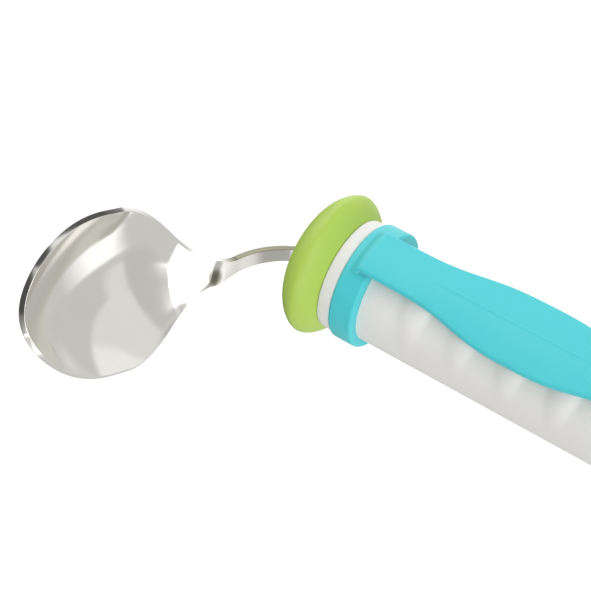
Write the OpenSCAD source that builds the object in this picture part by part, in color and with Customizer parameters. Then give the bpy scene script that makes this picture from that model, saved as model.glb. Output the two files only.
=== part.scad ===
// Bendable spoon with a hand strap.
// The handle's axis is X. The flat butt face is at the origin, the bowl is towards -X,
// and the strap is on top, towards +Z.

/* [Handle] */
// Diameter of the barrel
handle_d = 28; // [26:0.5:31]
// Length of the shell, from flange to flange
handle_len = 108; // [96:1:130]
// Diameter of the two end flanges
flange_d = 31.5; // [30:0.5:38]
// Length of each flange
flange_len = 3.9; // [3:0.1:6]
// Wall of the shell
wall = 2.5; // [2:0.1:3]

/* [Finger ridges] */
// Number of ridges under the strap
ridge_count = 5; // [3:1:6]
// Distance from crest to crest
ridge_pitch = 14.2; // [12:0.1:16]
// Height of a crest over the barrel
ridge_rise = 1.4; // [0.8:0.1:1.6]
// Radius of a ridge's rounded crest
ridge_round = 8; // [6:0.5:9]
// How far the ridges' own axis lies above the handle's, which makes them fade at the sides
ridge_lift = 2; // [1.5:0.1:3]

/* [Collar] */
// Largest diameter of the collar
collar_d = 40.4; // [36:0.2:46]
// Length of the collar
collar_len = 12.2; // [10:0.1:16]
// Depth of the dish that the neck leaves through
dish_depth = 7.2; // [4:0.1:8]
// Radius of the dish at its mouth
dish_r = 11.7; // [9:0.1:13]

/* [Strap] */
// Length of each ring along the handle
ring_len = 7.4; // [6:0.1:10]
// Thickness of a ring
ring_t = 2.5; // [2.2:0.1:3]
// Thickness of the band
band_t = 2; // [1.6:0.1:2.2]
// Width of the band at its ends
band_end_w = 13.3; // [11:0.1:16]
// Width of the band at its middle
band_mid_w = 20.6; // [17:0.1:26]
// Height of the band's crease over the rings, at its ends
band_end_rise = 2.45; // [2.3:0.05:3.5]
// Height of the band's crease over the rings, at its middle
band_mid_rise = 1.75; // [1.6:0.05:3.5]
// Lip of the front ring that shows ahead of the band
ring_lip = 2.1; // [0.5:0.1:2.5]

/* [Neck] */
// Width of the steel strip
strip_w = 4.4; // [4:0.1:6]
// Thickness of the steel strip
strip_t = 1.6; // [1.2:0.1:2]
// Radius of the bend, at the strip's middle
bend_r = 22.2; // [18:0.2:26]
// Angle of the bend
bend_angle = 74; // [40:1:85]
// Where the bend starts, ahead of the front flange
bend_start = 4.7; // [2:0.1:4.8]
// Turn of the bend's plane about the handle's axis, up from level
bend_turn = 15.6; // [0:0.2:30]

/* [Bowl] */
// Width of the bowl inside its edge
bowl_w = 42; // [38:0.2:50]
// Length from the end of the bend to the bowl's tip
bowl_reach = 62.8; // [56:0.1:70]
// Depth of the bowl
bowl_depth = 9.9; // [8:0.1:13]
// Steel thickness of the bowl
bowl_t = 1.1; // [0.9:0.1:1.4]
// Step from the neck down to the rim's plane
rim_drop = 4.5; // [2:0.1:6]
// Sideways lift of the bowl's axis out of the bend's plane
bowl_lift = 15.6; // [0:0.1:20]
// Twist of the bowl about its own axis
bowl_twist = 23.1; // [0:0.1:28]

/* [Core and cap] */
// Length of the tang inside the handle
tang_len = 34; // [25:1:45]
// Length of the core that grips the tang
core_len = 32; // [22:1:40]
// Length of the end cap outside the shell
cap_len = 6; // [5:0.5:10]
// Diameter of the flat butt face
butt_d = 22; // [16:0.5:26]

/* [Hidden] */
$fn = 96;
steel = "#c3c2be";
green = "#b0cf5f";
white = "#e3e2de";
blue = "#5bd5db";
fit = 0.05;
over = 1;
handle_r = handle_d / 2;
bore_r = handle_r - wall;
plug_r = bore_r - fit;
ring_r = handle_r + fit + ring_t;
front_x = -(handle_len + cap_len);
spigot_len = 6;

// A place on the handle's axis, given as the distance behind the front flange's face
function behind(d) = front_x + d;

// Eases from 0 to 1 while t goes from 0 to 1
function ease(t) = let (u = min(max(t, 0), 1)) u * u * (3 - 2 * u);

// Points on an arc in the plane
function arc(centre, r, from, to, steps) =
    [for (i = [0 : steps]) let (a = from + (to - from) * i / steps) centre + r * [cos(a), sin(a)]];

// A solid turned about the handle's axis, from points of radius and X
module turned(points) {
    rotate([0, 90, 0])
        rotate_extrude()
            polygon(points);
}

// A closed sheet between two surfaces, each a list of rows of points
module sheet(face, back) {
    rows = len(face);
    cols = len(face[0]);
    count = rows * cols;
    points = concat([for (row = face) each row], [for (row = back) each row]);
    function at(r, c) = r * cols + c;
    function pair(a, b, c, d) = [[a, b, c], [a, c, d]];
    function joined(a, b) = pair(a, b, b + count, a + count);
    face_tris = [for (r = [0 : rows - 2], c = [0 : cols - 2])
        each pair(at(r, c), at(r, c + 1), at(r + 1, c + 1), at(r + 1, c))];
    back_tris = [for (t = face_tris) [t[2] + count, t[1] + count, t[0] + count]];
    end_tris = [for (c = [0 : cols - 2])
        each concat(joined(at(0, c + 1), at(0, c)), joined(at(rows - 1, c), at(rows - 1, c + 1)))];
    side_tris = [for (r = [0 : rows - 2])
        each concat(joined(at(r, 0), at(r + 1, 0)), joined(at(r + 1, cols - 1), at(r, cols - 1)))];
    polyhedron(points, concat(face_tris, back_tris, end_tris, side_tris), convexity = 6);
}

// The spoon's own place: its X runs out of the handle, and it bends towards its Y
module spoon_place() {
    translate([front_x, 0, 0])
        rotate([-bend_turn, 0, 0])
            rotate([0, 0, 180])
                children();
}

// The bowl, worked out along its axis from the end of the bend
throat_len = 8;
throat_swell = 1.75;
throat_at = 7.2;
throat_spread = 4.3;
flare_start = 7.8;
flare_end = 32.6;
flare_shape = 0.68;
widest = 37.2;
dish_start = 7.5;
dish_ease = 1.5;
rim_start = 10.8;
rim_len = 6;
step_len = 1.6 * throat_len;
thin_len = 1.2 * throat_len;
lift_len = 12;
least_lift = 0.01;
tip_taper = 0.17;
tip_len = bowl_reach - widest;
rim_angle = atan(4 * bowl_depth / bowl_w);
edge_out = bowl_t * sin(rim_angle);
edge_down = bowl_t * cos(rim_angle);
body_rows = 26;
tip_rows = 16;
tip_stop = 89;
bowl_rows = concat(
    [for (i = [0 : body_rows]) widest * i / body_rows],
    [for (i = [1 : tip_rows]) widest + tip_len * sin(tip_stop * i / tip_rows)]);
bowl_cols = [for (a = [-90 : 10 : 90]) sin(a)];

// Half width of the outline at a distance along the axis: a round tip that tapers a little,
// and a flare from the neck with a small swell at the throat
function tip_half_w(u) = bowl_w / 2 * sqrt(1 - u * u) * (1 - tip_taper * pow(u, 3));
function flare_share(s) = pow(ease((s - flare_start) / (flare_end - flare_start)), flare_shape);
function flare_half_w(s) = strip_w / 2 + (bowl_w - strip_w) / 2 * flare_share(s)
    + throat_swell * exp(-pow((s - throat_at) / throat_spread, 2));
function tip_share(s) = max(s - widest, 0) / tip_len;
function half_width(s) = s > widest ? tip_half_w(tip_share(s)) : flare_half_w(s);

// Share of the full depth along the bowl's length, which starts gently out of the throat
function dish_at(s) = s > widest
    ? 1 - pow(tip_share(s), 2)
    : pow(max(1 - pow((widest - s) / (widest - dish_start), 2), 0), dish_ease);

// Centre line of the throat and bowl: a short arc out of the bend's plane, then straight
function axis_angle(s) = bowl_lift * min(s / lift_len, 1);
function axis_point(s) = let (r = lift_len * 180 / (PI * max(bowl_lift, least_lift)), a = axis_angle(s))
    [r * sin(a), 0, r * (1 - cos(a))] + max(s - lift_len, 0) * [cos(bowl_lift), 0, sin(bowl_lift)];

// A point of the bowl: distance along the axis, height over the neck's face, and place across the width
function bowl_point(s, height, across) =
    let (a = axis_angle(s), t = bowl_twist * ease(s / (2 * throat_len)),
        y = height * cos(t) - across * sin(t), z = height * sin(t) + across * cos(t))
    axis_point(s) + [-z * sin(a), y, z * cos(a)];

// A row across the bowl, grown outwards, lowered, and dished to a depth. The sheet's edge is square to
// the bowl's wall, so the outside face is wider than the inside one and its rim is lower.
function step_down(s) = rim_drop * ease((s - throat_len / 2) / step_len);
function bowl_row(s, grow, under, depth) =
    let (u = tip_share(s), w = half_width(s) + grow * sqrt(1 - u * u), rim = strip_t / 2 - step_down(s))
    [for (v = bowl_cols) bowl_point(s + grow * u, rim - under - depth * dish_at(s) * (1 - v * v), w * v)];
function rim_grow(s) = edge_out * ease((s - rim_start) / rim_len);
function rim_under(s) = strip_t + (edge_down - strip_t) * ease((s - throat_len / 2) / thin_len);

module spoon_bowl() {
    inside = [for (s = bowl_rows) bowl_row(s, 0, 0, bowl_depth)];
    outside = [for (s = bowl_rows) bowl_row(s, rim_grow(s), rim_under(s), bowl_depth + bowl_t - edge_down)];
    color(steel)
        spoon_place()
            translate([bend_start + bend_r * sin(bend_angle), bend_r * (1 - cos(bend_angle)), 0])
                rotate([0, 0, bend_angle])
                    sheet(inside, outside);
}

module neck_strip() {
    color(steel)
        spoon_place()
            translate([bend_start, bend_r, 0])
                rotate([0, 0, -90])
                    rotate_extrude(angle = bend_angle)
                        translate([bend_r - strip_t / 2, -strip_w / 2])
                            square([strip_t, strip_w]);
}

// The straight strip behind the bend, with room round it where it is used as a cut
module straight_strip(length, clear) {
    spoon_place()
        translate([bend_start - length, -strip_t / 2 - clear, -strip_w / 2 - clear])
            cube([length, strip_t + 2 * clear, strip_w + 2 * clear]);
}

module tang() {
    color(steel)
        straight_strip(bend_start + tang_len, 0);
}

// The collar's rounded outside is a soft-cornered oval: its middle, half length, foot and exponent
collar_mid = 5.5;
collar_half = collar_len - collar_mid;
collar_foot = 11.7;
collar_power = 1.63;
dish_floor_r = 4.6;
slot_clear = 0.2;
mouth_len = 4;

// A point on the oval, from 0 at its front tip to 180 at its back
function collar_point(a) =
    [collar_foot + (collar_d / 2 - collar_foot) * pow(sin(a), 2 / collar_power),
        front_x - collar_mid - collar_half * sign(cos(a)) * pow(abs(cos(a)), 2 / collar_power)];

module collar() {
    outside = [for (a = [0 : 6 : 180]) let (p = collar_point(a)) if (p[1] < front_x) p];
    dish = [for (a = [0 : 10 : 90])
        [dish_floor_r + (dish_r - dish_floor_r) * sin(a), front_x - collar_len + dish_depth * cos(a)]];
    base_r = flange_d / 2;
    color(green)
        difference() {
            turned(concat(
                [[0, front_x - collar_len + dish_depth]],
                dish,
                outside,
                [[base_r, front_x], [plug_r, front_x]],
                [[plug_r, behind(spigot_len)], [0, behind(spigot_len)]]));
            straight_strip(bend_start + spigot_len + over, slot_clear);
            spoon_place()
                translate([bend_start - slot_clear, -strip_t, -strip_w / 2 - slot_clear])
                    cube([mouth_len + slot_clear, 2 * strip_t, strip_w + 2 * slot_clear]);
        }
}

module tang_core() {
    color(white)
        difference() {
            translate([behind(spigot_len + fit), 0, 0])
                rotate([0, 90, 0])
                    cylinder(h = core_len, r = plug_r);
            straight_strip(bend_start + tang_len + fit, fit);
        }
}

// The rounded outer edge of a ring or flange, from points of radius and X
function soft_edge(r, start, length, soft) = concat(
    arc([r - soft, behind(start + soft)], soft, -90, 0, 5),
    arc([r - soft, behind(start + length - soft)], soft, 0, 90, 5));

// One finger ridge: a rounded crest turned about its own axis
module ridge(place) {
    crest_r = handle_r + ridge_rise - ridge_lift;
    translate([behind(place), 0, ridge_lift])
        rotate([0, 90, 0])
            rotate_extrude()
                intersection() {
                    translate([crest_r - ridge_round, 0])
                        circle(r = ridge_round);
                    translate([0, -ridge_round])
                        square([handle_d, 2 * ridge_round]);
                }
}

module handle_shell() {
    soft = 0.6;
    rear_flange = handle_len - flange_len;
    color(white)
        difference() {
            union() {
                turned(concat(
                    [[0, behind(0)]],
                    soft_edge(flange_d / 2, 0, flange_len, soft),
                    [[handle_r, behind(flange_len)], [handle_r, behind(rear_flange)]],
                    soft_edge(flange_d / 2, rear_flange, flange_len, soft),
                    [[0, behind(handle_len)]]));
                for (i = [0 : ridge_count - 1])
                    ridge(handle_len / 2 + ridge_pitch * (i - (ridge_count - 1) / 2));
            }
            translate([behind(-over), 0, 0])
                rotate([0, 90, 0])
                    cylinder(h = handle_len + 2 * over, r = bore_r);
        }
}

// A strap ring that starts at a distance behind the front flange
module strap_ring(start) {
    inner = handle_r + fit;
    soft = 1;
    color(blue)
        turned(concat(
            [[inner, behind(start)]],
            soft_edge(ring_r, start, ring_len, soft),
            [[inner, behind(start + ring_len)]]));
}

ring_start = flange_len + fit;

module strap_front_ring() {
    strap_ring(ring_start);
}

module strap_rear_ring() {
    strap_ring(handle_len - ring_start - ring_len);
}

// The band: an arched strip with a crease along its middle, folded down onto a ring at each end
seat_gap = 0.1;
fold_r = band_end_rise - band_t / 2 - 2 * seat_gap;
fold_start = ring_start + ring_lip + band_t / 2;
fold_step = 22.5;
span_rows = 14;
swell_len = 20;
arch_r = 34;
crease_slope = 0.05;
band_end_h = ring_r + band_end_rise - band_t / 2;
band_mid_h = ring_r + band_mid_rise - band_t / 2;
half_span = handle_len / 2 - fold_start - fold_r;

// Half width of the band, and height of its middle line, at a distance from the handle's middle
function band_half_w(d) = (band_end_w + (band_mid_w - band_end_w) * exp(-pow(abs(d) / swell_len, 3))) / 2;
function band_h(d) = band_mid_h + (band_end_h - band_mid_h) * pow(d / half_span, 2);
function arch_drop(y) = y * y / (2 * arch_r) + crease_slope * abs(y);

// The middle line in side view, as place along the handle, height, and direction of its outer side
band_side = concat(
    [for (a = [0 : fold_step : 90 - fold_step])
        [-half_span - fold_r * cos(a), band_end_h - fold_r * (1 - sin(a)), 180 - a]],
    [for (i = [-span_rows : span_rows]) let (d = half_span * i / span_rows) [d, band_h(d), 90]],
    [for (a = [90 - fold_step : -fold_step : 0])
        [half_span + fold_r * cos(a), band_end_h - fold_r * (1 - sin(a)), a]]);
band_cols = [for (i = [-6 : 6]) i / 6];

// A row of the band, offset from its middle line
function band_row(p, off) = [for (v = band_cols) let (y = v * band_half_w(p[0]))
    [behind(handle_len / 2) + p[0] + off * cos(p[2]), y, p[1] + off * sin(p[2]) - arch_drop(y)]];

// The row where a folded end stands on its ring
function seat_row(side, off) = [for (v = band_cols) let (y = v * band_half_w(half_span))
    [behind(handle_len / 2) + side * (half_span + fold_r + off), y, sqrt(pow(ring_r + seat_gap, 2) - y * y)]];

module strap_band() {
    half = band_t / 2;
    outer = concat([seat_row(-1, half)], [for (p = band_side) band_row(p, half)], [seat_row(1, half)]);
    inner = concat([seat_row(-1, -half)], [for (p = band_side) band_row(p, -half)], [seat_row(1, -half)]);
    color(blue)
        sheet(inner, outer);
}

module end_cap() {
    soft = 3;
    cap_r = flange_d / 2;
    color(green)
        turned(concat(
            [[0, behind(handle_len - spigot_len)], [plug_r, behind(handle_len - spigot_len)],
                [plug_r, behind(handle_len)], [cap_r, behind(handle_len)]],
            arc([cap_r - soft, -soft], soft, 0, 60, 6),
            [[butt_d / 2, 0], [0, 0]]));
}

spoon_bowl();
neck_strip();
tang();
collar();
tang_core();
handle_shell();
strap_front_ring();
strap_band();
strap_rear_ring();
end_cap();
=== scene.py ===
# Bendable spoon with a hand strap: its looks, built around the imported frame
import math

import bmesh
import bpy
from mathutils import Matrix, Vector


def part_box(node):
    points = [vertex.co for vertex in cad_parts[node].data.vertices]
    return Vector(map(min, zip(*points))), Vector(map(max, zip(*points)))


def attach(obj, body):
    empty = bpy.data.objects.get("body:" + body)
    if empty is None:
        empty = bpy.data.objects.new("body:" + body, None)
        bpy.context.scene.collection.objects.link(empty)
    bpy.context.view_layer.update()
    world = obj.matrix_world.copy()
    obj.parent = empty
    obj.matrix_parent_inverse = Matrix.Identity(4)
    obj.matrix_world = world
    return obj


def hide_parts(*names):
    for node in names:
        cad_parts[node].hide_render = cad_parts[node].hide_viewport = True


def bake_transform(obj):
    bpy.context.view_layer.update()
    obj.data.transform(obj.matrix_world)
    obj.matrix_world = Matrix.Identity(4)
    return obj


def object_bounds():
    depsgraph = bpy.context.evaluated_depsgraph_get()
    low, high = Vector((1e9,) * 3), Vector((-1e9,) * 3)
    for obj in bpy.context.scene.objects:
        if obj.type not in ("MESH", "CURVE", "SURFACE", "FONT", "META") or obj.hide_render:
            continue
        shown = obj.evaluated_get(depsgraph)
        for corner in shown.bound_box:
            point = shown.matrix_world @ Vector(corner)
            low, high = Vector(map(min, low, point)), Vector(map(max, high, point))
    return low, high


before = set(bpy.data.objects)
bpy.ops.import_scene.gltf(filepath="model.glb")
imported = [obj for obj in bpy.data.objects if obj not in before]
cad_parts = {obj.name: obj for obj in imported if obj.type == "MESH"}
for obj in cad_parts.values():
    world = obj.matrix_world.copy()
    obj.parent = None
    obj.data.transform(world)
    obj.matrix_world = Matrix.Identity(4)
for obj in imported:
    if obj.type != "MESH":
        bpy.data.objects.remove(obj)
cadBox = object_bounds()
mm = 0.001  # sizes below are in mm and angles in degrees, unless a note says otherwise
print("frame loaded with", len(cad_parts), "nodes")


# Small tools

def linear(hexCode):
    parts = [int(hexCode[i:i + 2], 16) / 255 for i in (1, 3, 5)]
    return [c / 12.92 if c <= 0.04045 else ((c + 0.055) / 1.055) ** 2.4 for c in parts] + [1.0]


def perMetre(size):  # a pattern's scale from its real size in mm
    return 1 / (size * mm)


def addNode(tree, kind, settings=None, inputs=None):  # an input is a value, or a (node, output) pair to link
    node = tree.nodes.new(kind)
    for key, value in (settings or {}).items():
        setattr(node, key, value)
    for key, value in (inputs or {}).items():
        if isinstance(value, tuple) and isinstance(value[0], bpy.types.Node):
            tree.links.new(value[0].outputs[value[1]], node.inputs[key])
        else:
            node.inputs[key].default_value = value
    return node


def newMaterial(name):
    material = bpy.data.materials.new(name)
    material.use_nodes = True
    material.node_tree.nodes.clear()
    return material, material.node_tree


def nodeBox(node):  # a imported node's corners, in mm
    return [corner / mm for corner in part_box(node)]


def ease(t):
    u = min(max(t, 0.0), 1.0)
    return u * u * (3 - 2 * u)


def mixed(a, b, t):
    return a + (b - a) * t


def arcPoints(centre, radius, start, end, steps):  # points on a flat arc, angles in degrees
    angles = [math.radians(mixed(start, end, i / steps)) for i in range(steps + 1)]
    return [(centre[0] + radius * math.cos(a), centre[1] + radius * math.sin(a)) for a in angles]


weldGap = 0.002  # mm; points closer than this become one


def loftMesh(name, loops, closed=False, capStart=True, capEnd=True, sharpAngle=38, dull=None):
    # quads between closed rows of points in mm; caps and tight corners keep a sharp edge
    bm = bmesh.new()
    layer = bm.verts.layers.float.new("dull")  # from 0 to 1, read by the steel: the neck's darker tone and painted dark reflection
    rows = [[bm.verts.new([c * mm for c in p]) for p in loop] for loop in loops]
    for row, values in zip(rows, dull or []):
        for vert, value in zip(row, values):
            vert[layer] = value
    count = len(rows[0])
    pairs = list(zip(rows, rows[1:])) + ([(rows[-1], rows[0])] if closed else [])
    for a, b in pairs:
        for i in range(count):
            j = (i + 1) % count
            bm.faces.new((a[i], a[j], b[j], b[i]))
    for row, wanted in ((rows[0], capStart), (rows[-1], capEnd)):
        if wanted and not closed:
            bm.faces.new(row)
    bmesh.ops.remove_doubles(bm, verts=bm.verts, dist=weldGap * mm)
    bmesh.ops.recalc_face_normals(bm, faces=bm.faces)
    for face in bm.faces:
        face.smooth = True
    for edge in bm.edges:
        edge.smooth = not (edge.is_manifold and edge.calc_face_angle() > math.radians(sharpAngle))
    mesh = bpy.data.meshes.new(name)
    bm.to_mesh(mesh)
    bm.free()
    obj = bpy.data.objects.new(name, mesh)
    bpy.context.scene.collection.objects.link(obj)
    return obj


axisR = 0.4  # mm; the smallest row round the axis, which a cap closes


def turnedLoops(profile, sides):  # rows round the handle's axis from (radius, place along it)
    turns = [2 * math.pi * i / sides for i in range(sides)]
    return [[(x, r * math.sin(a), r * math.cos(a)) for a in turns] for r, x in profile]


def dress(obj, material, slotName, *nodes):
    obj.data.materials.append(material)
    obj.visible_glossy = slotName == "steel"  # keeps the coloured pieces out of the steel's reflections
    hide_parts(*nodes)


# Materials

noiseLow, noiseHigh = 0.3, 0.7  # most of a noise texture's values lie between these
# the dark colour gives the neck a darker tone and paints dark reflection on its edges and on a spot in the
# throat
steelSet = {"colour": "#ECEAE5", "worn": "#E7E5DF", "dull": "#7C7A6A", "roughLow": 0.07, "roughHigh": 0.12,
            "smudge": 9.0, "polish": 0.45, "polishDepth": 0.004, "bump": 0.05}


def buffedStainlessSteel():
    # 18/0 stainless steel, stamped and buffed: clear but slightly soft reflections, faint polishing marks.
    # The neck is darker; its sheared edges and a spot in the throat's hollow carry painted dark reflection.
    # Real polishing marks are some 0.02 mm apart and are drawn coarser so that they show.
    material, tree = newMaterial("buffedStainlessSteel")
    place = addNode(tree, "ShaderNodeTexCoord")
    smudge = addNode(tree, "ShaderNodeTexNoise", None, {
        "Vector": (place, "Object"), "Scale": perMetre(steelSet["smudge"]), "Detail": 3.0, "Roughness": 0.5})
    rough = addNode(tree, "ShaderNodeMapRange", None, {
        "Value": (smudge, 0), "From Min": noiseLow, "From Max": noiseHigh,
        "To Min": steelSet["roughLow"], "To Max": steelSet["roughHigh"]})
    tint = addNode(tree, "ShaderNodeMix", {"data_type": "RGBA"}, {
        0: (smudge, 0), 6: linear(steelSet["colour"]), 7: linear(steelSet["worn"])})
    # mask of the neck's darker tone and of painted dark reflection on its edges and in the throat
    dull = addNode(tree, "ShaderNodeAttribute", {"attribute_name": "dull"})
    tone = addNode(tree, "ShaderNodeMix", {"data_type": "RGBA"}, {
        0: (dull, "Fac"), 6: (tint, 2), 7: linear(steelSet["dull"])})
    marks = addNode(tree, "ShaderNodeTexNoise", None, {
        "Vector": (place, "Object"), "Scale": perMetre(steelSet["polish"]), "Detail": 2.0})
    bump = addNode(tree, "ShaderNodeBump", None, {
        "Strength": steelSet["bump"], "Distance": steelSet["polishDepth"] * mm, "Height": (marks, 0)})
    shader = addNode(tree, "ShaderNodeBsdfPrincipled", None, {
        "Base Color": (tone, 2), "Metallic": 1.0, "Roughness": (rough, 0), "Normal": (bump, 0)})
    addNode(tree, "ShaderNodeOutputMaterial", None, {"Surface": (shader, 0)})
    return material


siliconeSet = {"roughLow": 0.40, "roughHigh": 0.50, "ior": 1.5, "cloud": 14.0,
               "grain": 0.5, "grainDepth": 0.02, "bump": 0.25, "glowShare": 0.25, "glowDepth": 1.2,
               "green": ("#B6D55E", "#B1D157"), "greenGlow": (0.7, 1.0, 0.3),
               "blue": ("#54D6DD", "#4CD1D9"), "blueGlow": (0.3, 0.9, 1.0)}


def mouldedSilicone(name, colours, glow):
    # Silicone rubber from a satin mould: even colour, soft broad shine, thin edges that let light through.
    # The mould's 0.1 mm grain is drawn coarser so that it shows.
    material, tree = newMaterial(name)
    place = addNode(tree, "ShaderNodeTexCoord")
    cloud = addNode(tree, "ShaderNodeTexNoise", None, {
        "Vector": (place, "Object"), "Scale": perMetre(siliconeSet["cloud"]), "Detail": 3.0})
    tint = addNode(tree, "ShaderNodeMix", {"data_type": "RGBA"}, {
        0: (cloud, 0), 6: linear(colours[0]), 7: linear(colours[1])})
    grain = addNode(tree, "ShaderNodeTexNoise", None, {
        "Vector": (place, "Object"), "Scale": perMetre(siliconeSet["grain"]), "Detail": 3.0})
    rough = addNode(tree, "ShaderNodeMapRange", None, {
        "Value": (grain, 0), "From Min": noiseLow, "From Max": noiseHigh,
        "To Min": siliconeSet["roughLow"], "To Max": siliconeSet["roughHigh"]})
    bump = addNode(tree, "ShaderNodeBump", None, {
        "Strength": siliconeSet["bump"], "Distance": siliconeSet["grainDepth"] * mm, "Height": (grain, 0)})
    shader = addNode(tree, "ShaderNodeBsdfPrincipled", None, {
        "Base Color": (tint, 2), "Roughness": (rough, 0), "IOR": siliconeSet["ior"], "Normal": (bump, 0),
        "Subsurface Weight": siliconeSet["glowShare"], "Subsurface Scale": siliconeSet["glowDepth"] * mm,
        "Subsurface Radius": glow})
    addNode(tree, "ShaderNodeOutputMaterial", None, {"Surface": (shader, 0)})
    return material


plasticSet = {"colour": "#F3F2EE", "shade": "#EEEDE9", "roughLow": 0.34, "roughHigh": 0.44, "ior": 1.54,
              "cloud": 18.0, "grain": 0.4, "grainDepth": 0.012, "bump": 0.2}


def mouldedAbs():
    # ABS from a finely etched mould: off-white, even, with a quiet sheen.
    # The etch is near 0.1 mm and is drawn coarser so that it shows.
    material, tree = newMaterial("mouldedAbs")
    place = addNode(tree, "ShaderNodeTexCoord")
    cloud = addNode(tree, "ShaderNodeTexNoise", None, {
        "Vector": (place, "Object"), "Scale": perMetre(plasticSet["cloud"]), "Detail": 2.0})
    tint = addNode(tree, "ShaderNodeMix", {"data_type": "RGBA"}, {
        0: (cloud, 0), 6: linear(plasticSet["colour"]), 7: linear(plasticSet["shade"])})
    grain = addNode(tree, "ShaderNodeTexNoise", None, {
        "Vector": (place, "Object"), "Scale": perMetre(plasticSet["grain"]), "Detail": 2.0})
    rough = addNode(tree, "ShaderNodeMapRange", None, {
        "Value": (grain, 0), "From Min": noiseLow, "From Max": noiseHigh,
        "To Min": plasticSet["roughLow"], "To Max": plasticSet["roughHigh"]})
    bump = addNode(tree, "ShaderNodeBump", None, {
        "Strength": plasticSet["bump"], "Distance": plasticSet["grainDepth"] * mm, "Height": (grain, 0)})
    shader = addNode(tree, "ShaderNodeBsdfPrincipled", None, {
        "Base Color": (tint, 2), "Roughness": (rough, 0), "IOR": plasticSet["ior"], "Normal": (bump, 0)})
    addNode(tree, "ShaderNodeOutputMaterial", None, {"Surface": (shader, 0)})
    return material


steel = buffedStainlessSteel()
greenSilicone = mouldedSilicone("mouldedGreenSilicone", siliconeSet["green"], siliconeSet["greenGlow"])
blueSilicone = mouldedSilicone("mouldedBlueSilicone", siliconeSet["blue"], siliconeSet["blueGlow"])
whitePlastic = mouldedAbs()
print("materials made")


# Handle shell: barrel, end flanges and soft finger ridges that fade at the sides

shellLow, shellHigh = nodeBox("handle_shell")
frontX, rearX = shellLow.x, shellHigh.x
handleLen = rearX - frontX
handleSet = {"barrelR": 14.0, "flangeR": shellHigh.y, "flangeLen": 3.9, "soft": 0.6, "boreR": 11.5,
             "ridges": 5, "pitch": 14.2, "rise": 1.4, "round": 8.0, "lift": 2.0, "valley": 0.5,
             "sides": 144, "step": 0.6, "softSteps": 5}


def softMax(a, b, width):  # the larger of two heights, with a rounded valley between them
    near = max(width - abs(a - b), 0) / width
    return max(a, b) + near * near * width / 4


def barrelRadius(along, turn):  # turn is measured from the top
    s = handleSet
    radius = s["barrelR"]
    for i in range(s["ridges"]):
        off = along - handleLen / 2 - s["pitch"] * (i - (s["ridges"] - 1) / 2)
        if abs(off) < s["round"]:
            crest = s["barrelR"] + s["rise"] - s["lift"] - s["round"] + math.sqrt(s["round"] ** 2 - off ** 2)
            side = s["lift"] * math.sin(turn)
            ridge = s["lift"] * math.cos(turn) + math.sqrt(crest ** 2 - side ** 2)
            radius = softMax(radius, ridge, s["valley"])
    return radius


def makeHandleShell():
    s = handleSet
    soft, flangeLen, shoulder = s["soft"], s["flangeLen"], s["flangeR"] - s["soft"]
    flange = (arcPoints((soft, shoulder), soft, 180, 90, s["softSteps"])
              + arcPoints((flangeLen - soft, shoulder), soft, 90, 0, s["softSteps"]))
    front = [(s["boreR"], 0)] + [(r, d) for d, r in flange]
    loops = turnedLoops([(r, frontX + d) for r, d in front], s["sides"])
    turns = [2 * math.pi * i / s["sides"] for i in range(s["sides"])]
    count = int((handleLen - 2 * flangeLen) / s["step"])
    for d in [mixed(flangeLen, handleLen - flangeLen, i / count) for i in range(count + 1)]:
        radii = [barrelRadius(d, a) for a in turns]
        loops.append([(frontX + d, r * math.sin(a), r * math.cos(a)) for r, a in zip(radii, turns)])
    loops += turnedLoops([(r, frontX + handleLen - d) for r, d in reversed(front)], s["sides"])
    shell = loftMesh("handleShell", loops, closed=True)
    dress(shell, whitePlastic, "white_plastic", "handle_shell")
    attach(shell, "handle")


makeHandleShell()
print("handle shell made")


# Collar: soft rounded guard with a dished front that the neck comes out of

collarLow, collarHigh = nodeBox("collar")
collarSet = {"topR": collarHigh.y, "tipX": collarLow.x, "mid": 5.5, "foot": 11.7, "power": 1.63,
             "dishR": 11.7, "dishFloorR": 4.6, "dishDepth": 7.2, "spigotR": 11.4, "spigotLen": 6.0,
             "seatGap": 0.05, "dishStep": 3, "ovalStep": 2, "sides": 160}


def makeCollar():
    s = collarSet
    half = frontX - s["mid"] - s["tipX"]

    def oval(angle):
        c, n = math.cos(angle), math.sin(angle)
        along = math.copysign(abs(c) ** (2 / s["power"]), c)
        return mixed(s["foot"], s["topR"], n ** (2 / s["power"])), frontX - s["mid"] - half * along

    floorX = s["tipX"] + s["dishDepth"]
    dishAngles = [math.radians(a) for a in range(0, 90, s["dishStep"])]
    dish = [(mixed(s["dishFloorR"], s["dishR"], math.sin(a)), s["tipX"] + s["dishDepth"] * math.cos(a))
            for a in dishAngles]
    outside = [oval(math.radians(a)) for a in range(0, 181, s["ovalStep"])]
    outside = [(r, x) for r, x in outside if x < frontX - s["seatGap"]]
    profile = ([(axisR, floorX), (s["dishFloorR"] / 2, floorX)] + dish + outside
               + [(s["spigotR"], frontX), (s["spigotR"], frontX + s["spigotLen"])])
    collar = loftMesh("collarGuard", turnedLoops(profile, s["sides"]))
    dress(collar, greenSilicone, "green_silicone", "collar")
    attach(collar, "handle")


makeCollar()
print("collar made")


# End cap: closes the rear of the shell

capHigh = nodeBox("end_cap")[1]
capSet = {"capR": capHigh.y, "endX": capHigh.x, "soft": 3.0, "buttR": 11.0,
          "spigotR": 11.4, "spigotLen": 6.0, "bevel": 0.3, "edgeTo": 22, "edgeSteps": 12, "sides": 128}


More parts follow.
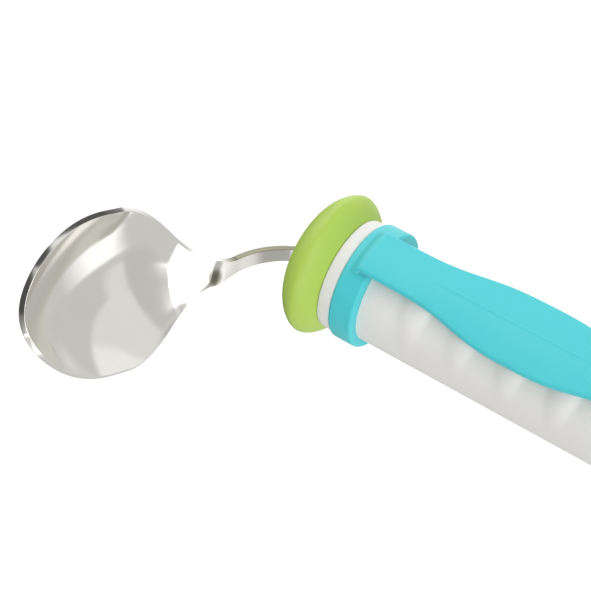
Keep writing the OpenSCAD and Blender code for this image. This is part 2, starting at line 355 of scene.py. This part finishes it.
def makeEndCap():
    s = capSet
    centre = (s["endX"] - s["soft"], s["capR"] - s["soft"])
    edge = [(r, x) for x, r in arcPoints(centre, s["soft"], 90, s["edgeTo"], s["edgeSteps"])]
    profile = [(s["spigotR"], rearX - s["spigotLen"]), (s["spigotR"], rearX)]
    profile += [(s["capR"] - s["bevel"], rearX), (s["capR"], rearX + s["bevel"])]
    profile += edge + [(s["buttR"], s["endX"]), (axisR, s["endX"])]
    cap = loftMesh("endCap", turnedLoops(profile, s["sides"]))
    dress(cap, greenSilicone, "green_silicone", "end_cap")
    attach(cap, "handle")


makeEndCap()
print("end cap made")


# Strap: two rings and a band, one moulding, with the band drawn in two halves

ringLow, ringHigh = nodeBox("strap_front_ring")
ringSet = {"outerR": ringHigh.y, "innerR": 14.05, "length": ringHigh.x - ringLow.x, "soft": 1.0,
           "softSteps": 8, "sides": 160}
bandSet = {"thick": 2.0, "endW": 13.3, "midW": 20.6, "swell": 20.0, "swellPower": 3, "archR": 34.0,
           "crease": 0.05, "endH": 19.0, "midH": 18.3, "lip": 2.1, "ramp": 3.6, "settle": 2.4,
           "wall": 2.2, "underRound": 0.9, "sink": 1.4, "tuck": 0.02, "flare": 0.4, "flareShare": 0.8,
           "edge": 0.7, "edgeSteps": 5, "footOut": 0.1, "footRise": 0.2,
           "beadFrom": 22.0, "beadFull": 34.0, "bead": 0.12, "beadW": 0.3,
           "beadRows": (0.1, 0.2, 0.35, 0.6, 0.9), "wideRows": 12, "foldRows": 44, "spanRows": 60}


def makeRing(name, startX, node):
    s = ringSet
    soft, shoulder, endX = s["soft"], s["outerR"] - s["soft"], startX + s["length"]
    outside = (arcPoints((startX + soft, shoulder), soft, 180, 90, s["softSteps"])
               + arcPoints((endX - soft, shoulder), soft, 90, 0, s["softSteps"]))
    profile = [(s["innerR"], startX)] + [(r, x) for x, r in outside] + [(s["innerR"], endX)]
    ring = loftMesh(name, turnedLoops(profile, s["sides"]), closed=True)
    dress(ring, blueSilicone, "blue_silicone", node)
    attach(ring, "handle")


def bandRow(along):  # a closed row across the band at a distance behind the front flange
    s = bandSet
    ringStart = ringLow.x - frontX
    rampStart = ringStart + s["lip"]
    fromMid = handleLen / 2 - along
    halfSpan = handleLen / 2 - rampStart - s["ramp"]
    climb = math.sin(math.pi / 2 * min(max((along - rampStart) / s["ramp"], 0), 1))
    halfW = mixed(s["endW"], s["midW"], math.exp(-(abs(fromMid) / s["swell"]) ** s["swellPower"])) / 2
    halfW += s["flare"] * (1 - ease((along - rampStart) / (s["flareShare"] * s["ramp"])))
    crest = mixed(s["midH"], s["endH"], min(abs(fromMid) / halfSpan, 1) ** 2)
    bead = ease((along - s["beadFrom"]) / (s["beadFull"] - s["beadFrom"]))

    def seat(y):
        return math.sqrt(ringSet["outerR"] ** 2 - y * y)

    def arch(y):
        return crest - y * y / (2 * s["archR"]) - s["crease"] * abs(y)

    def top(y):
        ridge = s["bead"] * bead * math.exp(-(y / s["beadW"]) ** 2)
        return mixed(seat(y) - s["tuck"], arch(y) + ridge, climb)

    def under(y):
        gone = min(max((along - rampStart - s["wall"]) / s["underRound"], 0), 1)
        return mixed(seat(y) - s["sink"], arch(y) - s["thick"], math.sqrt(1 - (1 - gone) ** 2))

    edge = s["edge"]
    flat = halfW - edge
    rightRows = list(s["beadRows"]) + [flat * i / s["wideRows"] for i in range(2, s["wideRows"] + 1)]
    across = [-y for y in reversed(rightRows)] + [0] + rightRows
    lean = math.atan(flat / s["archR"] + s["crease"])
    slope = math.degrees(lean)
    upper = (flat - edge * math.sin(lean), top(flat) - edge * math.cos(lean))
    lower = (upper[0] + edge * s["footOut"], under(flat) + max(edge * math.cos(lean), s["footRise"]))
    right = arcPoints(upper, edge, 90 - slope, 0, s["edgeSteps"])[1:]
    right += arcPoints(lower, edge, 0, -90 - slope, s["edgeSteps"])[:-1]
    loop = [(y, top(y)) for y in across] + right
    loop += [(y, under(y)) for y in reversed(across)] + [(-y, z) for y, z in reversed(right)]
    return [(frontX + along, y, z) for y, z in loop]


def makeBandHalf(name, rear):
    s = bandSet
    rampStart = ringLow.x - frontX + s["lip"]
    foldLen = s["ramp"] + s["settle"]
    stations = [rampStart + foldLen * i / s["foldRows"] for i in range(s["foldRows"])]
    spanStart = rampStart + foldLen
    stations += [mixed(spanStart, handleLen / 2, i / s["spanRows"]) for i in range(s["spanRows"] + 1)]
    loops = [bandRow(d) for d in stations]
    if rear:
        loops = [[(frontX + rearX - x, y, z) for x, y, z in loop] for loop in loops]
    band = loftMesh(name, loops)
    dress(band, blueSilicone, "blue_silicone", "strap_band")
    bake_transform(band)


makeRing("strapFrontRing", ringLow.x, "strap_front_ring")
makeRing("strapRearRing", nodeBox("strap_rear_ring")[0].x, "strap_rear_ring")
makeBandHalf("strapBandFront", rear=False)
makeBandHalf("strapBandRear", rear=True)
print("strap made")


# Spoon: one stamping, drawn as the neck's root, the neck's tip with the throat, and the bowl

spoonSet = {"bendStart": 4.7, "bendR": 22.2, "bend": 74.0, "turn": 15.6,
            "rootW": 3.7, "stripW": 4.4, "stripT": 1.6, "bowlW": 42.0, "reach": 62.8, "depth": 9.9,
            "rimDrop": 4.5, "lift": 15.6, "liftLen": 12.0, "twist": 23.1,
            "throat": 8.0, "twistRun": 2.0, "dropRun": 1.6, "rimRun": 1.2,  # runs in throat lengths
            "swell": 1.75, "swellAt": 7.2, "swellSpread": 4.3,
            "flareStart": 7.8, "flareEnd": 32.6, "flareShape": 0.68, "widest": 37.2, "tipTaper": 0.17,
            "dishStart": 7.5, "dishEase": 1.5, "rim": 1.5, "edgeRound": 0.10, "edgePower": 10.0,
            # edge and spot darkness is painted dark reflection; the neck's darker tone fades out over
            # neckFade
            "neckDarkening": 0.42, "neckFade": 8.0, "edgePaintedReflection": 1.0, "spotPaintedReflection": 1.0,
            "spotAt": 6.9, "spotLong": 1.9, "spotSide": -0.35, "spotWide": 0.75, "spotPower": 4,
            "seamAt": 9.5, "neckRows": 36, "bowlRows": 110, "tipRows": 60, "edgeSteps": 12, "cols": 56}
spoonPlace = (Matrix.Translation((frontX, 0, 0)) @ Matrix.Rotation(math.radians(-spoonSet["turn"]), 4, "X")
              @ Matrix.Rotation(math.pi, 4, "Z"))
tipLen = spoonSet["reach"] - spoonSet["widest"]
tiny = 0.01  # mm, a step for finding slopes
acrossSteps = [math.sin(math.pi * (i / spoonSet["cols"] - 0.5)) for i in range(spoonSet["cols"] + 1)]


def bendPoint(angle, height=0.0, across=0.0):  # a point of the neck, angle in degrees
    s = spoonSet
    a = math.radians(angle)
    radius = s["bendR"] - height
    return Vector((s["bendStart"] + radius * math.sin(a), s["bendR"] - radius * math.cos(a), across))


def bowlPoint(along, height, across):  # lifts, twists and bends a place measured along the bowl's own axis
    s = spoonSet
    lift = math.radians(s["lift"])
    a = lift * min(along / s["liftLen"], 1)
    radius = s["liftLen"] / lift
    beyond = max(along - s["liftLen"], 0)
    axis = Vector((radius * math.sin(a) + beyond * math.cos(lift), 0,
                   radius * (1 - math.cos(a)) + beyond * math.sin(lift)))
    t = math.radians(s["twist"]) * ease(along / (s["twistRun"] * s["throat"]))
    y = height * math.cos(t) - across * math.sin(t)
    z = height * math.sin(t) + across * math.cos(t)
    local = axis + Vector((-z * math.sin(a), y, z * math.cos(a)))
    return Matrix.Rotation(math.radians(s["bend"]), 4, "Z") @ local + bendPoint(s["bend"])


def tipShare(along):  # 0 up to the widest place, 1 at the tip
    return max(along - spoonSet["widest"], 0) / tipLen


def tipWidth(along):  # half width of the tapering round tip, before it closes
    return spoonSet["bowlW"] / 2 * (1 - spoonSet["tipTaper"] * tipShare(along) ** 3)


def halfWidth(along):
    s = spoonSet
    if along > s["widest"]:
        return tipWidth(along) * math.sqrt(max(1 - tipShare(along) ** 2, 0))
    flare = ease((along - s["flareStart"]) / (s["flareEnd"] - s["flareStart"])) ** s["flareShape"]
    swell = s["swell"] * math.exp(-((along - s["swellAt"]) / s["swellSpread"]) ** 2)
    return mixed(s["stripW"], s["bowlW"], flare) / 2 + swell


def facePoint(along, across):  # the spoon's upper face: the neck steps down to the rim, then the bowl dips
    s = spoonSet
    if along > s["widest"]:
        dish = 1 - tipShare(along) ** 2
        hollow = 1 / tipWidth(along) ** 2
    else:
        dish = max(1 - ((s["widest"] - along) / (s["widest"] - s["dishStart"])) ** 2, 0) ** s["dishEase"]
        hollow = dish / halfWidth(along) ** 2
    down = s["rimDrop"] * ease((along - s["throat"] / 2) / (s["dropRun"] * s["throat"]))
    return bowlPoint(along, s["stripT"] / 2 - down - s["depth"] * (dish - hollow * across * across), across)


def faceNormal(along, across):
    run = facePoint(along + tiny, across) - facePoint(along - tiny, across)
    side = facePoint(along, across + tiny) - facePoint(along, across - tiny)
    return side.cross(run).normalized()


def edgePoints(face, back, away):  # the sheet's edge: square, with softened corners
    s = spoonSet
    middle, half = (face + back) / 2, (back - face) / 2
    points = []
    for i in range(1, s["edgeSteps"]):
        t = math.pi * i / s["edgeSteps"]
        c, n = math.cos(t), math.sin(t)
        through = math.copysign(abs(c) ** (2 / s["edgePower"]), c)
        points.append(middle - half * through + away * s["edgeRound"] * n ** (2 / s["edgePower"]))
    return points


def closedRow(face, back, away):  # away holds the outward direction at the row's last and first point
    loop = face + edgePoints(face[-1], back[-1], away[0])
    loop += list(reversed(back)) + list(reversed(edgePoints(face[0], back[0], away[1])))
    return [spoonPlace @ p for p in loop]


def neckRow(angle):
    s = spoonSet
    half = mixed(s["rootW"], 2 * halfWidth(0), angle / s["bend"]) / 2 - s["edgeRound"]
    face = [bendPoint(angle, s["stripT"] / 2, half * v) for v in acrossSteps]
    back = [bendPoint(angle, -s["stripT"] / 2, half * v) for v in acrossSteps]
    return closedRow(face, back, (Vector((0, 0, 1)), Vector((0, 0, -1))))


def bowlRow(along):
    s = spoonSet
    u = tipShare(along)
    thick = mixed(s["stripT"], s["rim"], ease((along - s["throat"] / 2) / (s["rimRun"] * s["throat"])))
    half = max(halfWidth(along) - s["edgeRound"] * math.sqrt(max(1 - u * u, 0)), 0)
    place = along - s["edgeRound"] * u
    normals = [faceNormal(place, half * v) for v in acrossSteps]
    face = [facePoint(place, half * v) for v in acrossSteps]
    back = [p - n * thick for p, n in zip(face, normals)]
    away = []
    for sign, normal in ((1, normals[-1]), (-1, normals[0])):
        if u < 1:
            widen = (halfWidth(along + tiny) - halfWidth(along - tiny)) / 2
            run = facePoint(place + tiny, sign * (half + widen)) - facePoint(place, sign * half)
        else:
            run = facePoint(place, -sign * tiny) - facePoint(place, 0)
        away.append((run.cross(normal) * sign).normalized())
    return closedRow(face, back, away)


def darkToneAndPaintedReflectionShare(along, i):
    # how dark a row's point is: the neck's darker tone, and painted dark reflection on its sheared edges and
    # the throat's spot
    s = spoonSet
    onEdge = i % (s["cols"] + s["edgeSteps"]) > s["cols"]
    neck = s["edgePaintedReflection" if onEdge else "neckDarkening"] * (1 - ease(along / s["neckFade"]))
    if i > s["cols"]:
        return neck
    off = math.hypot((along - s["spotAt"]) / s["spotLong"], (acrossSteps[i] - s["spotSide"]) / s["spotWide"])
    return max(neck, s["spotPaintedReflection"] * math.exp(-off ** s["spotPower"]))


def makeSpoon():
    s = spoonSet
    half = s["bend"] / 2
    steps = s["neckRows"]
    rootRows = [neckRow(half * i / steps) for i in range(steps + 1)]
    tipRows = [neckRow(half + half * i / steps) for i in range(steps)]
    places = [s["widest"] * i / s["bowlRows"] for i in range(s["bowlRows"] + 1)]
    tipAngles = [math.radians(90 * i / s["tipRows"]) for i in range(1, s["tipRows"] + 1)]
    places += [s["widest"] + tipLen * math.sin(a) for a in tipAngles]
    points = range(len(rootRows[0]))
    neckDarkening = [darkToneAndPaintedReflectionShare(0, i) for i in points]
    dull = [neckDarkening] * len(tipRows) + [[darkToneAndPaintedReflectionShare(along, i) for i in points] for along in places]
    seam = len(tipRows) + len([along for along in places if along < s["seamAt"]])
    rows = tipRows + [bowlRow(along) for along in places]
    root = loftMesh("neckRoot", rootRows, dull=[neckDarkening] * len(rootRows))
    tip = loftMesh("neckTip", rows[:seam + 1], capEnd=False, dull=dull)
    bowl = loftMesh("bowl", rows[seam:], capStart=False, capEnd=False, dull=dull[seam:])
    dress(root, steel, "steel", "neck_strip")
    dress(tip, steel, "steel", "neck_strip", "spoon_bowl")
    dress(bowl, steel, "steel", "spoon_bowl")
    for obj in (root, tip):
        obj.visible_glossy = False  # the darker neck would streak the bowl
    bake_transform(root)
    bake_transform(tip)
    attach(bowl, "bowl")


makeSpoon()
print("spoon made")


# Pieces that stay as packed, inside the handle

for nodeName, material in (("tang", steel), ("tang_core", whitePlastic)):
    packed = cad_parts[nodeName]
    packed.data.materials.clear()
    packed.data.materials.append(material)
    packed.visible_glossy = False


# Floor, light and camera

stageSet = {"drop": 70.0,  # keeps the floor clear of the bent spoon
            "floorR": 900.0, "curveR": 500.0, "wallH": 1500.0, "sides": 96, "curveSteps": 24,
            "paper": "#FFFFFF", "glow": 1.05, "room": 0.68}
# Panels round the studio, each laid over those before it. A panel's place, half spans and soft edges are
# (azimuth, elevation); azimuth 0 faces -Y and 90 faces +X. Its lean is azimuth per degree of elevation.
panels = [
    {"name": "backWall", "at": (228, 50), "half": (34, 32), "soft": (10, 10), "lean": 0, "light": 2.4},
    {"name": "backTable", "at": (222, -28), "half": (40, 34), "soft": (6, 8), "lean": 0, "light": 1.1},
    {"name": "backdrop", "at": (220, 6), "half": (42, 22), "soft": (8, 8), "lean": 0, "light": 1.5},
    {"name": "frontShade", "at": (-25, -10), "half": (35, 30), "soft": (8, 8), "lean": 0, "light": 0.25},
    {"name": "lightWall", "at": (112, 33), "half": (54, 45), "soft": (4, 5), "lean": 0, "light": 0.83},
    {"name": "wallEnd", "at": (157, 42), "half": (10, 34), "soft": (5, 6), "lean": 0, "light": 1.0},
    {"name": "dimWall", "at": (127, -6), "half": (36, 22), "soft": (7, 3), "lean": 0.5, "light": 0.66},
    {"name": "table", "at": (92, -48), "half": (24, 24), "soft": (10, 2), "lean": 0, "light": 0.92},
    {"name": "litTable", "at": (84, -40), "half": (16, 16), "soft": (12, 3), "lean": 0, "light": 1.3},
    {"name": "greyStrip", "at": (64, 28), "half": (9, 50), "soft": (2, 8), "lean": 0.33, "light": 0.605},
    {"name": "stripSoftbox", "at": (34, 32), "half": (22, 34), "soft": (1.5, 2), "lean": 0.33, "light": 2.0},
    {"name": "softboxFoot", "at": (38, -16), "half": (19.5, 14.5), "soft": (2, 2.5), "lean": 1, "light": 1.8},
    {"name": "footShade", "at": (8, -25), "half": (10, 15), "soft": (3, 4), "lean": 0, "light": 0.7},
    {"name": "softboxTop", "at": (34, 50), "half": (22, 16), "soft": (1.5, 5), "lean": 0.33, "light": 3.0},
    {"name": "darkFront", "at": (-22, 50), "half": (32, 32), "soft": (6, 12), "lean": 0.2, "light": 0.08},
    {"name": "darkBack", "at": (186, 50), "half": (18, 29), "soft": (4, 6), "lean": 0, "light": 0.10},
    {"name": "darkCeiling", "at": (0, 90), "half": (200, 10.5), "soft": (1, 1.5), "lean": 0, "light": 0.08},
    {"name": "blackFlag", "at": (-100, -36), "half": (32, 34), "soft": (6, 6), "lean": 0, "light": 0.07},
    {"name": "blackTable", "at": (184, -63), "half": (20, 12), "soft": (3, 3), "lean": 0, "light": 0.08}]


def makeSweep():
    # a round paper sweep that only the camera sees, so that every view has a plain pale floor and background
    s = stageSet
    level = cadBox[0].z / mm - s["drop"]
    flatR = s["floorR"] - s["curveR"]
    profile = [(axisR, level)] + arcPoints((flatR, level + s["curveR"]), s["curveR"], -90, 0, s["curveSteps"])
    profile += [(s["floorR"], level + s["wallH"])]
    turns = [2 * math.pi * i / s["sides"] for i in range(s["sides"])]
    loops = [[(r * math.cos(a), r * math.sin(a), z) for a in turns] for r, z in profile]
    sweep = loftMesh("paperSweep", loops)
    material, tree = newMaterial("whitePaper")  # evenly lit white paper: no grain or shadow shows
    glow = addNode(tree, "ShaderNodeEmission", None, {"Color": linear(s["paper"]), "Strength": s["glow"]})
    addNode(tree, "ShaderNodeOutputMaterial", None, {"Surface": (glow, 0)})
    sweep.data.materials.append(material)
    for kind in ("diffuse", "glossy", "transmission", "volume_scatter", "shadow"):
        setattr(sweep, "visible_" + kind, False)


def makeWorld():
    world = bpy.data.worlds.new("softStudio")
    world.use_nodes = True
    tree = world.node_tree
    tree.nodes.clear()
    # the azimuth and elevation of each direction
    place = addNode(tree, "ShaderNodeTexCoord")
    axes = addNode(tree, "ShaderNodeSeparateXYZ", None, {0: (place, "Generated")})
    south = addNode(tree, "ShaderNodeMath", {"operation": "MULTIPLY"}, {0: (axes, 1), 1: -1.0})
    turn = addNode(tree, "ShaderNodeMath", {"operation": "ARCTAN2"}, {0: (axes, 0), 1: (south, 0)})
    rise = addNode(tree, "ShaderNodeMath", {"operation": "ARCSINE"}, {0: (axes, 2)})
    radians = addNode(tree, "ShaderNodeCombineXYZ", None, {0: (turn, 0), 1: (rise, 0)})
    degrees = addNode(tree, "ShaderNodeVectorMath", {"operation": "SCALE"}, {
        0: (radians, 0), "Scale": 180 / math.pi})
    level = addNode(tree, "ShaderNodeSeparateXYZ", None, {0: (degrees, 0)})
    heights = addNode(tree, "ShaderNodeCombineXYZ", None, {0: (level, 1), 1: (level, 1), 2: (level, 1)})
    light = addNode(tree, "ShaderNodeValue")  # the room's even light, before any panel
    light.outputs[0].default_value = stageSet["room"]
    for panel in panels:
        half, soft = panel["half"], panel["soft"]
        lean = addNode(tree, "ShaderNodeVectorMath", {"operation": "MULTIPLY_ADD"}, {
            0: (heights, 0), 1: (-panel["lean"], 0, 0), 2: (degrees, 0)})
        off = addNode(tree, "ShaderNodeVectorMath", {"operation": "SUBTRACT"}, {
            0: (lean, 0), 1: (*panel["at"], 0)})
        wrapped = addNode(tree, "ShaderNodeVectorMath", {"operation": "WRAP"}, {
            0: (off, 0), 1: (180, 180, 180), 2: (-180, -180, -180)})
        distance = addNode(tree, "ShaderNodeVectorMath", {"operation": "ABSOLUTE"}, {0: (wrapped, 0)})
        shares = addNode(tree, "ShaderNodeMapRange", {
            "data_type": "FLOAT_VECTOR", "interpolation_type": "SMOOTHSTEP"}, {
            6: (distance, 0), 7: (half[0] + soft[0], half[1] + soft[1], 1),
            8: (half[0] - soft[0], half[1] - soft[1], 0), 9: (0, 0, 0), 10: (1, 1, 1)})
        parts = addNode(tree, "ShaderNodeSeparateXYZ", None, {0: (shares, 1)})
        share = addNode(tree, "ShaderNodeMath", {"operation": "MULTIPLY"}, {0: (parts, 0), 1: (parts, 1)})
        light = addNode(tree, "ShaderNodeMix", {"data_type": "FLOAT"}, {
            0: (share, 0), 2: (light, 0), 3: panel["light"]})
    sky = addNode(tree, "ShaderNodeBackground", None, {"Color": (1, 1, 1, 1), "Strength": (light, 0)})
    addNode(tree, "ShaderNodeOutputWorld", None, {"Surface": (sky, 0)})
    bpy.context.scene.world = world


cameraSet = {"aim": (-123.24, -12.68, -1.40), "azimuth": 45.88, "elevation": 57.62, "roll": 12.40,
             "distance": 373.53, "focal": 1400.0, "frame": 591.0, "sensor": 36.0, "near": 10.0}


def makeCamera():
    s = cameraSet
    azimuth, elevation = math.radians(s["azimuth"]), math.radians(s["elevation"])
    back = Vector((math.sin(azimuth) * math.cos(elevation), -math.cos(azimuth) * math.cos(elevation),
                   math.sin(elevation)))
    camera = bpy.data.cameras.new("camera")
    camera.sensor_width = s["sensor"]
    camera.lens = s["focal"] * s["sensor"] / s["frame"]
    camera.clip_start = s["near"] * mm
    obj = bpy.data.objects.new("camera", camera)
    bpy.context.scene.collection.objects.link(obj)
    obj.rotation_mode = "QUATERNION"
    level = (-back).to_track_quat("-Z", "Y")
    obj.rotation_quaternion = level @ Matrix.Rotation(math.radians(-s["roll"]), 3, "Z").to_quaternion()
    obj.location = (Vector(s["aim"]) + back * s["distance"]) * mm
    bpy.context.scene.camera = obj


makeSweep()
makeWorld()
makeCamera()
bpy.context.scene.view_settings.view_transform = "Standard"
print("stage made")
